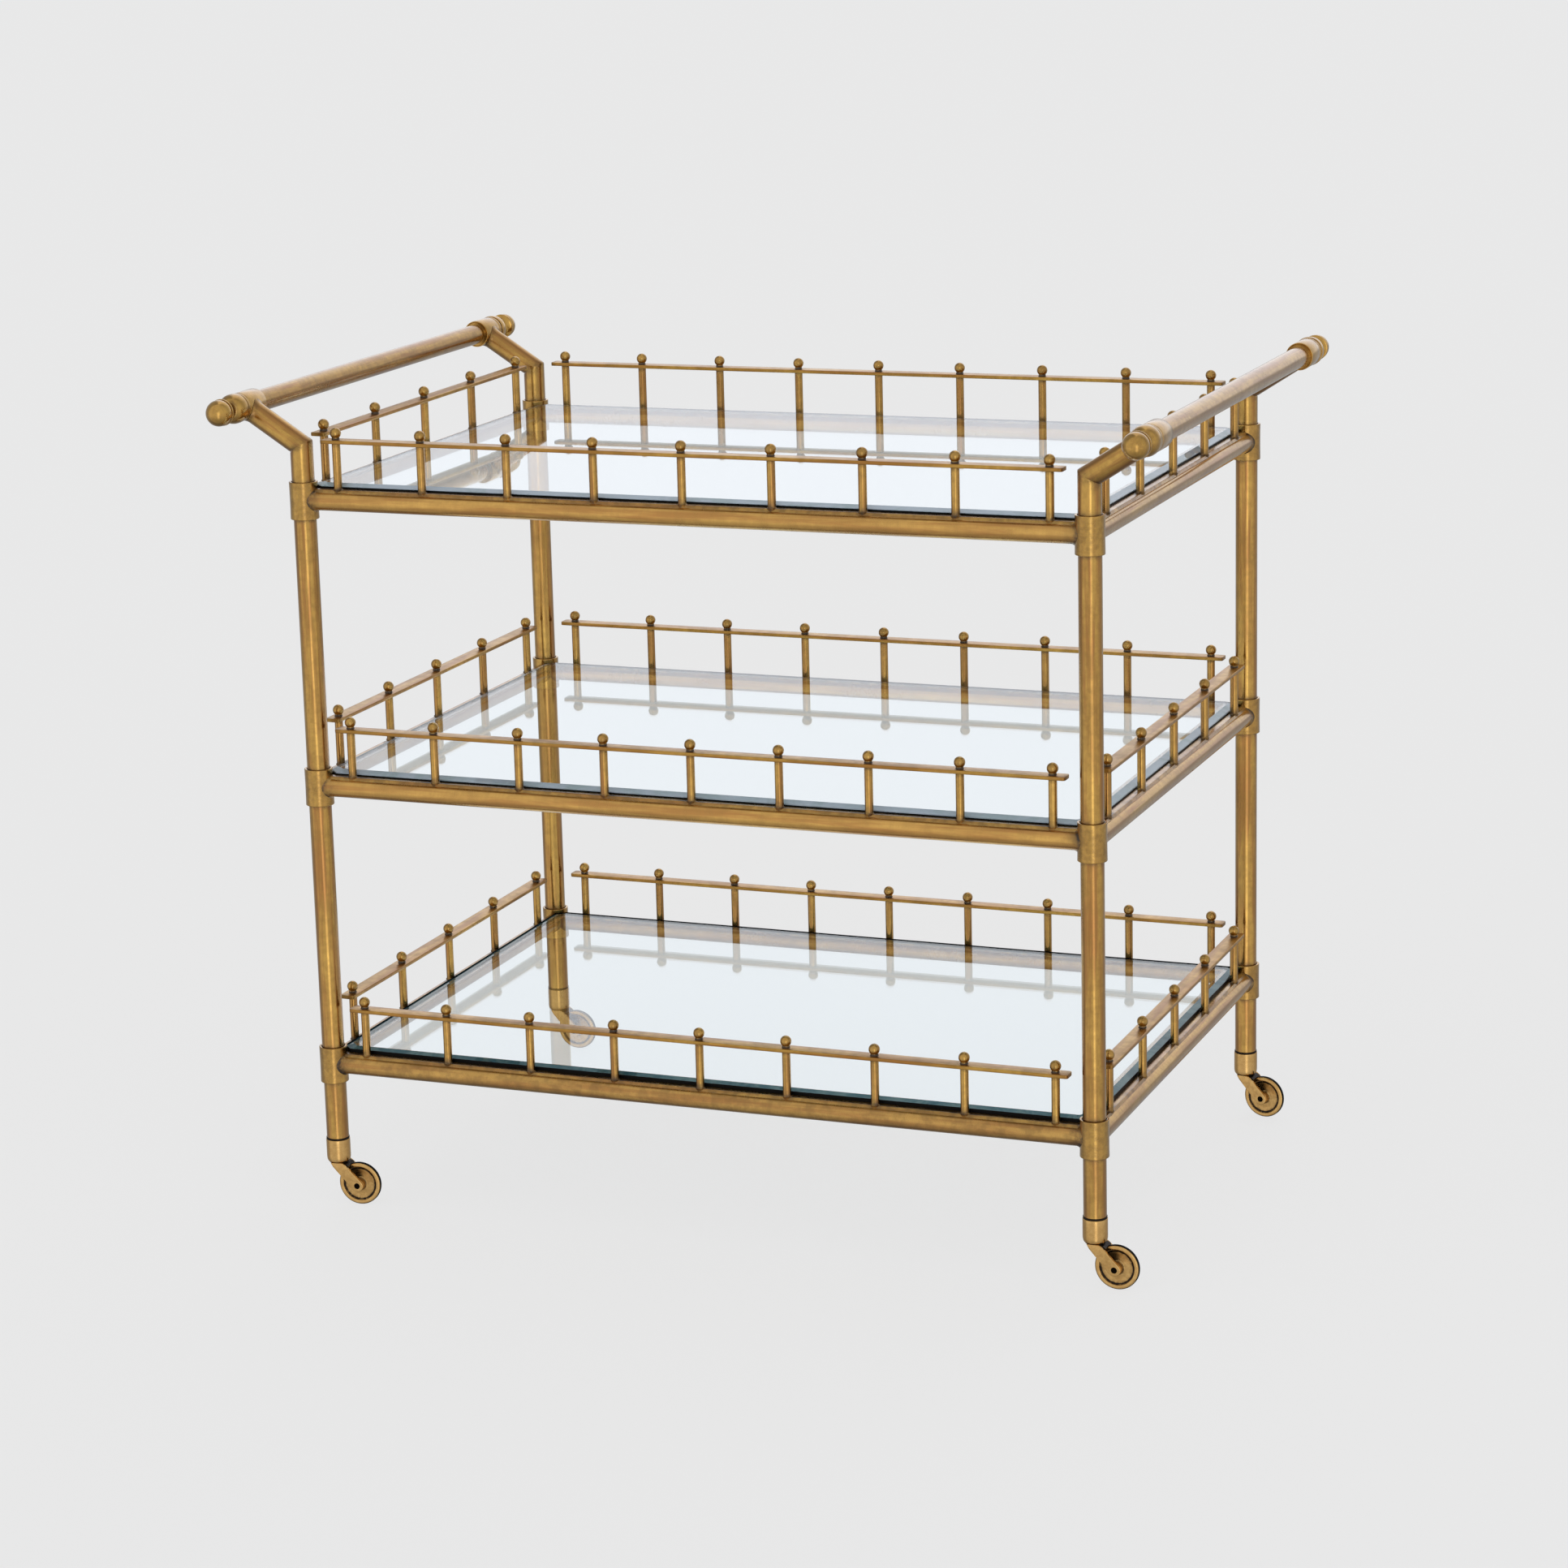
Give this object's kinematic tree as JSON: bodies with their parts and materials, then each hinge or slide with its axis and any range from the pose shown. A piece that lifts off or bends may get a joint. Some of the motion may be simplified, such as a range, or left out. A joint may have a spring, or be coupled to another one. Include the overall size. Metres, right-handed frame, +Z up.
{
  "type": "dessert trolley",
  "caption": "Brass-framed serving trolley on swivel casters, with bevelled glass shelves inside post-and-strip galleries and a push handle with ball ends at each end.",
  "frame": {"origin": "on the floor, under the middle of the trolley", "axes": "+X along the length (towards the right-hand handle as seen from the front), +Y from the front to the back, +Z up"},
  "size_m": [1.0782, 0.766, 0.9426],
  "materials": {
    "frame_brass": "antique, brushed satin with brown patina",
    "turned_brass": "antique, turned and satin polished",
    "caster_brass": "satin, lightly aged",
    "clear_glass": "clear float glass with bevelled edges",
    "black_tape": "matt black glazing tape",
    "black_tyre": "matt black rubber",
    "caster_steel": "bronzed steel"
  },
  "bodies": {
    "frame": {"collars_bottom": "frame_brass", "long_rails_bottom": "frame_brass", "side_rails_bottom": "frame_brass", "ledges_bottom": "frame_brass", "glass_bottom": "clear_glass", "posts_bottom": "frame_brass", "strips_bottom": "frame_brass", "finials_bottom": "turned_brass", "collars_middle": "frame_brass", "long_rails_middle": "frame_brass", "side_rails_middle": "frame_brass", "ledges_middle": "frame_brass", "glass_middle": "clear_glass", "posts_middle": "frame_brass", "strips_middle": "frame_brass", "finials_middle": "turned_brass", "collars_top": "frame_brass", "long_rails_top": "frame_brass", "side_rails_top": "frame_brass", "ledges_top": "frame_brass", "glass_top": "clear_glass", "posts_top": "frame_brass", "strips_top": "frame_brass", "finials_top": "turned_brass", "glazing_tapes": "black_tape", "handle_bar_left": "frame_brass", "handle_bar_right": "frame_brass", "handle_sleeves": "turned_brass", "handle_caps": "turned_brass", "handle_knobs": "turned_brass", "caster_cups": "turned_brass", "leg_front_left": "frame_brass", "handle_arm_front_left": "frame_brass", "leg_front_right": "frame_brass", "handle_arm_front_right": "frame_brass", "leg_rear_left": "frame_brass", "handle_arm_rear_left": "frame_brass", "leg_rear_right": "frame_brass", "handle_arm_rear_right": "frame_brass"},
    "swivel_front_left": {"caster_fork_front_left": "caster_brass", "caster_stem_front_left": "caster_steel", "caster_axle_front_left": "caster_steel"},
    "wheel_front_left": {"caster_wheel_front_left": "caster_brass", "caster_tyre_front_left": "black_tyre"},
    "swivel_front_right": {"caster_fork_front_right": "caster_brass", "caster_stem_front_right": "caster_steel", "caster_axle_front_right": "caster_steel"},
    "wheel_front_right": {"caster_wheel_front_right": "caster_brass", "caster_tyre_front_right": "black_tyre"},
    "swivel_rear_left": {"caster_fork_rear_left": "caster_brass", "caster_stem_rear_left": "caster_steel", "caster_axle_rear_left": "caster_steel"},
    "wheel_rear_left": {"caster_wheel_rear_left": "caster_brass", "caster_tyre_rear_left": "black_tyre"},
    "swivel_rear_right": {"caster_fork_rear_right": "caster_brass", "caster_stem_rear_right": "caster_steel", "caster_axle_rear_right": "caster_steel"},
    "wheel_rear_right": {"caster_wheel_rear_right": "caster_brass", "caster_tyre_rear_right": "black_tyre"}
  },
  "joints": [
    {"name": "swivel_front_left", "type": "hinge", "parent": "frame", "child": "swivel_front_left", "pos_m": [-0.455, -0.3085, 0.07], "axis": [0, 0, 1], "continuous": true},
    {"name": "spin_front_left", "type": "hinge", "parent": "swivel_front_left", "child": "wheel_front_left", "pos_m": [-0.43014, -0.30589, 0.025], "axis": [-0.1045, 0.9945, 0], "continuous": true},
    {"name": "swivel_front_right", "type": "hinge", "parent": "frame", "child": "swivel_front_right", "pos_m": [0.455, -0.3085, 0.07], "axis": [0, 0, 1], "continuous": true},
    {"name": "spin_front_right", "type": "hinge", "parent": "swivel_front_right", "child": "wheel_front_right", "pos_m": [0.47998, -0.30937, 0.025], "axis": [0.0349, 0.9994, 0], "continuous": true},
    {"name": "swivel_rear_left", "type": "hinge", "parent": "frame", "child": "swivel_rear_left", "pos_m": [-0.455, 0.3085, 0.07], "axis": [0, 0, 1], "continuous": true},
    {"name": "spin_rear_left", "type": "hinge", "parent": "swivel_rear_left", "child": "wheel_rear_left", "pos_m": [-0.43, 0.3085, 0.025], "axis": [0, 1, 0], "continuous": true},
    {"name": "swivel_rear_right", "type": "hinge", "parent": "frame", "child": "swivel_rear_right", "pos_m": [0.455, 0.3085, 0.07], "axis": [0, 0, 1], "continuous": true},
    {"name": "spin_rear_right", "type": "hinge", "parent": "swivel_rear_right", "child": "wheel_rear_right", "pos_m": [0.47962, 0.30416, 0.025], "axis": [0.1736, 0.9848, 0], "continuous": true}
  ]
}
